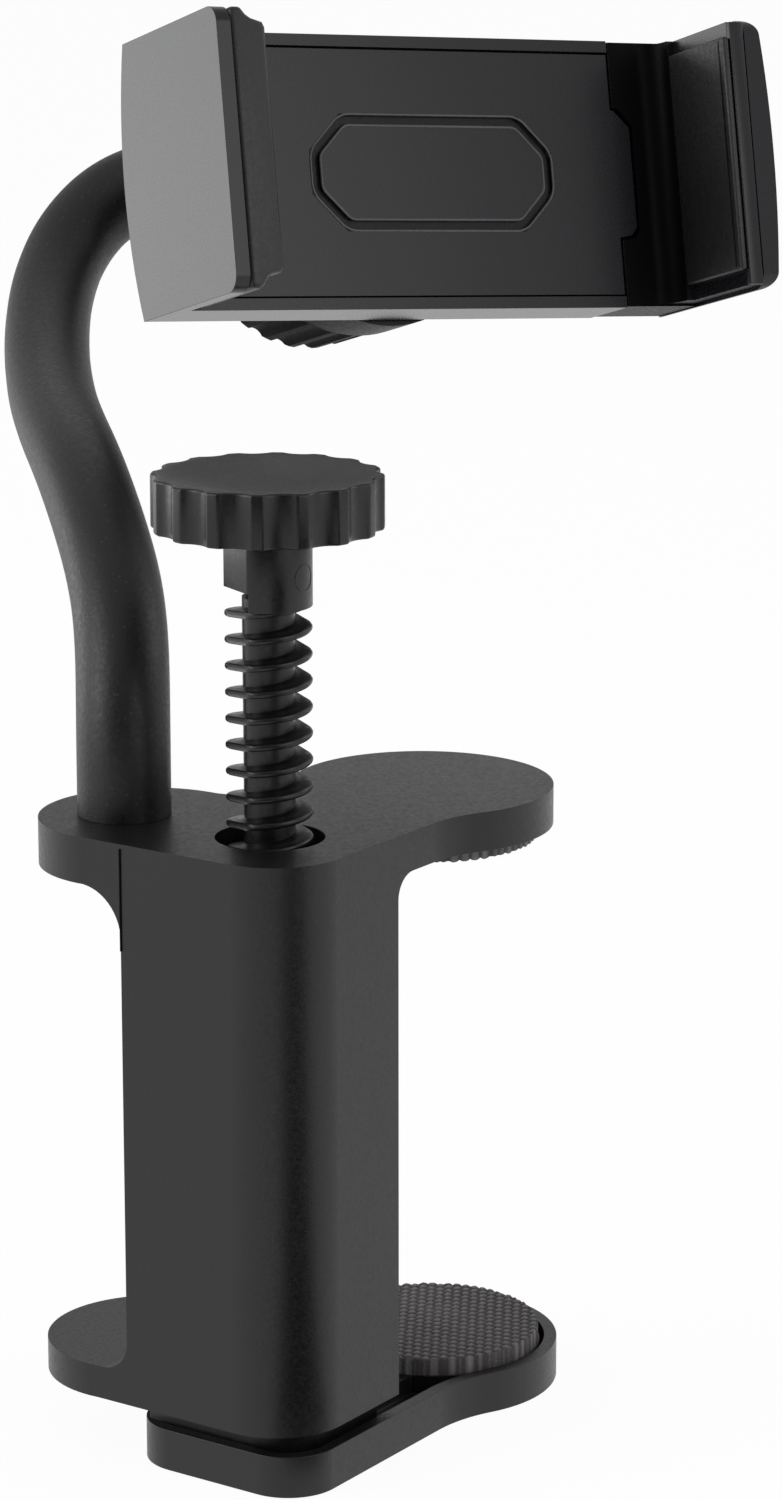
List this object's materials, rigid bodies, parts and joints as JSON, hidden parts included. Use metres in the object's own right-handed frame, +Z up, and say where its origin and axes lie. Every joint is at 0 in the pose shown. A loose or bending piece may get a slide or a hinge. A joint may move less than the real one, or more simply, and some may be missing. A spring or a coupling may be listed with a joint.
{
  "type": "guitar phone holder",
  "caption": "Phone holder for a guitar: a hand-screw clamp with padded jaws, a bendable covered neck and a spring-loaded phone grip on a lockable ball joint.",
  "frame": {"origin": "on the clamp screw's axis at the underside of the lower jaw, which is the face the part stands on", "axes": "+X along the jaws, away from the screw; +Y towards the lug that carries the neck; +Z up along the clamp screw"},
  "size_m": [0.1629, 0.1408, 0.2251],
  "materials": {
    "body_plastic": "satin black moulded plastic",
    "holder_plastic": "smooth satin black moulded plastic",
    "pad_rubber": "brownish grey rubber with a woven bump pattern",
    "jaw_rubber": "soft matte black rubber",
    "neck_rubber": "matte black rubber sleeve",
    "ball_plastic": "black plastic",
    "ring_plastic": "natural plastic",
    "steel": "zinc plated steel"
  },
  "bodies": {
    "frame": {"clamp_body": "body_plastic", "upper_pad": "pad_rubber", "thread_nut": "body_plastic", "nut_screws": "steel", "neck_base_ferrule": "steel", "neck_base_washer": "steel", "neck_base_screw": "steel", "neck_core": "steel", "neck_sleeve": "neck_rubber", "neck_top_ferrule": "steel", "ball_stud": "ball_plastic"},
    "lower_jaw": {"lower_jaw": "body_plastic", "lower_pad": "pad_rubber"},
    "screw": {"clamp_screw": "body_plastic", "retainer_washer": "steel", "retainer_screw": "steel"},
    "seat": {"seat_ring": "ring_plastic"},
    "holder": {"holder_back": "holder_plastic", "holder_front": "holder_plastic", "case_screws": "steel", "fixed_jaw_pad": "jaw_rubber", "guide_plate": "ring_plastic", "jaw_spring": "steel"},
    "nut": {"ball_nut": "holder_plastic"},
    "slide": {"slide_jaw": "holder_plastic", "slide_jaw_pad": "jaw_rubber", "slide_jaw_cover": "holder_plastic", "cover_screws": "steel"}
  },
  "joints": [
    {"name": "jaw_slide", "type": "slide", "parent": "frame", "child": "lower_jaw", "axis": [0, 0, -1], "range_m": [0, 0.048]},
    {"name": "screw_turn", "type": "hinge", "parent": "lower_jaw", "child": "screw", "pos_m": [0, 0, 0.15], "axis": [0, 0, -1], "range_deg": [-5, 4140]},
    {"name": "holder_tilt", "type": "hinge", "parent": "frame", "child": "seat", "pos_m": [0.09806, 0.05848, 0.18191], "axis": [0.8981, -0.4342, -0.0698], "range_deg": [-4, 12]},
    {"name": "holder_turn", "type": "hinge", "parent": "seat", "child": "holder", "pos_m": [0.09806, 0.05848, 0.18191], "axis": [-0.4004, -0.873, 0.2783], "range_deg": [-90, 90]},
    {"name": "nut_turn", "type": "hinge", "parent": "holder", "child": "nut", "pos_m": [0.09885, 0.06023, 0.18135], "axis": [-0.4004, -0.873, 0.2783], "range_deg": [0, 40]},
    {"name": "jaw_pull", "type": "slide", "parent": "holder", "child": "slide", "axis": [0.8981, -0.4342, -0.0698], "range_m": [0, 0.028], "stiffness_N_per_m": 150, "springref_m": -0.04, "deforming": ["jaw_spring"]}
  ],
  "couplings": [
    {"joint": "screw_turn", "follows": "jaw_slide", "rad_per_m": 1503.2}
  ]
}
